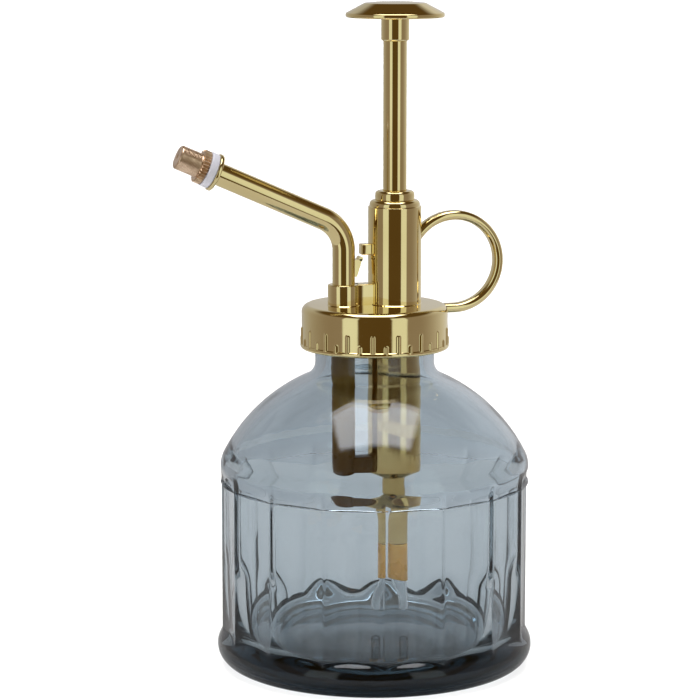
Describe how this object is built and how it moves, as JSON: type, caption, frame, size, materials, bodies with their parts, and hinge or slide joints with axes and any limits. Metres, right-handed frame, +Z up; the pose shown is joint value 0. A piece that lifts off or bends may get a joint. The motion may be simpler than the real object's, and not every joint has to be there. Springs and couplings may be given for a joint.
{
  "type": "hand mister",
  "caption": "Glass plant mister: panelled bottle with a domed shoulder and a screw-on hand pump that has a thumb knob, a bent spout, a turning nozzle and a finger ring.",
  "frame": {"origin": "centre of the bottle's flat foot, on the bottle's axis", "axes": "+Z up along the bottle's axis, -X towards the spout, +X towards the finger ring"},
  "size_m": [0.0915, 0.08, 0.1674],
  "materials": {
    "glass": "smoke-blue pressed glass, fire polished",
    "gold_plate": "moulded plastic, mirror-bright gold plating",
    "brass": "turned brass, bare",
    "white_plastic": "moulded, satin",
    "rubber": "matt",
    "steel": "drawn wire and ground balls, bright",
    "amber_plastic": "translucent, glossy",
    "clear_plastic": "clear extruded tube"
  },
  "bodies": {
    "bottle": {"glass_bottle": "glass"},
    "cap_carrier": {"neck_gasket": "rubber"},
    "pump_head": {"screw_cap": "gold_plate", "pump_barrel": "gold_plate", "finger_ring": "gold_plate", "gland_nut": "gold_plate", "rod_seal": "rubber", "pump_cylinder": "gold_plate", "valve_cage": "white_plastic", "riser_plug": "gold_plate", "tube_connector": "amber_plastic", "dip_tube": "clear_plastic", "spout_tube": "gold_plate", "spout_seal": "rubber", "nozzle_washer": "white_plastic", "return_spring": "steel"},
    "plunger": {"plunger_rod": "gold_plate", "thumb_knob": "gold_plate", "piston": "white_plastic", "piston_seal": "rubber"},
    "inlet_valve": {"inlet_ball": "steel"},
    "outlet_valve": {"outlet_ball": "steel"},
    "nozzle_core": {"swirl_insert": "white_plastic"},
    "nozzle": {"nozzle_tip": "brass"}
  },
  "joints": [
    {"name": "cap_lift", "type": "slide", "parent": "bottle", "child": "cap_carrier", "axis": [0, 0, 1], "range_m": [0, 0.0045]},
    {"name": "cap_turn", "type": "hinge", "parent": "cap_carrier", "child": "pump_head", "pos_m": [0, 0, 0.092], "axis": [0, 0, 1], "range_deg": [0, 540]},
    {"name": "plunger_press", "type": "slide", "parent": "pump_head", "child": "plunger", "axis": [0, 0, -1], "range_m": [0, 0.034], "stiffness_N_per_m": 200, "springref_m": -0.012, "deforming": ["return_spring"]},
    {"name": "inlet_lift", "type": "slide", "parent": "pump_head", "child": "inlet_valve", "axis": [0, 0, 1], "range_m": [0, 0.0015]},
    {"name": "outlet_lift", "type": "slide", "parent": "pump_head", "child": "outlet_valve", "axis": [0, 0, 1], "range_m": [0, 0.0015]},
    {"name": "nozzle_advance", "type": "slide", "parent": "pump_head", "child": "nozzle_core", "axis": [-0.9135, 0, 0.4067], "range_m": [0, 0.00105]},
    {"name": "nozzle_turn", "type": "hinge", "parent": "nozzle_core", "child": "nozzle", "pos_m": [-0.0081, 0, 0.1116], "axis": [-0.9135, 0, 0.4067], "range_deg": [0, 540]}
  ],
  "couplings": [
    {"joint": "cap_lift", "follows": "cap_turn", "m_per_rad": 0.00047746},
    {"joint": "nozzle_turn", "follows": "nozzle_advance", "rad_per_m": 8975.9}
  ]
}
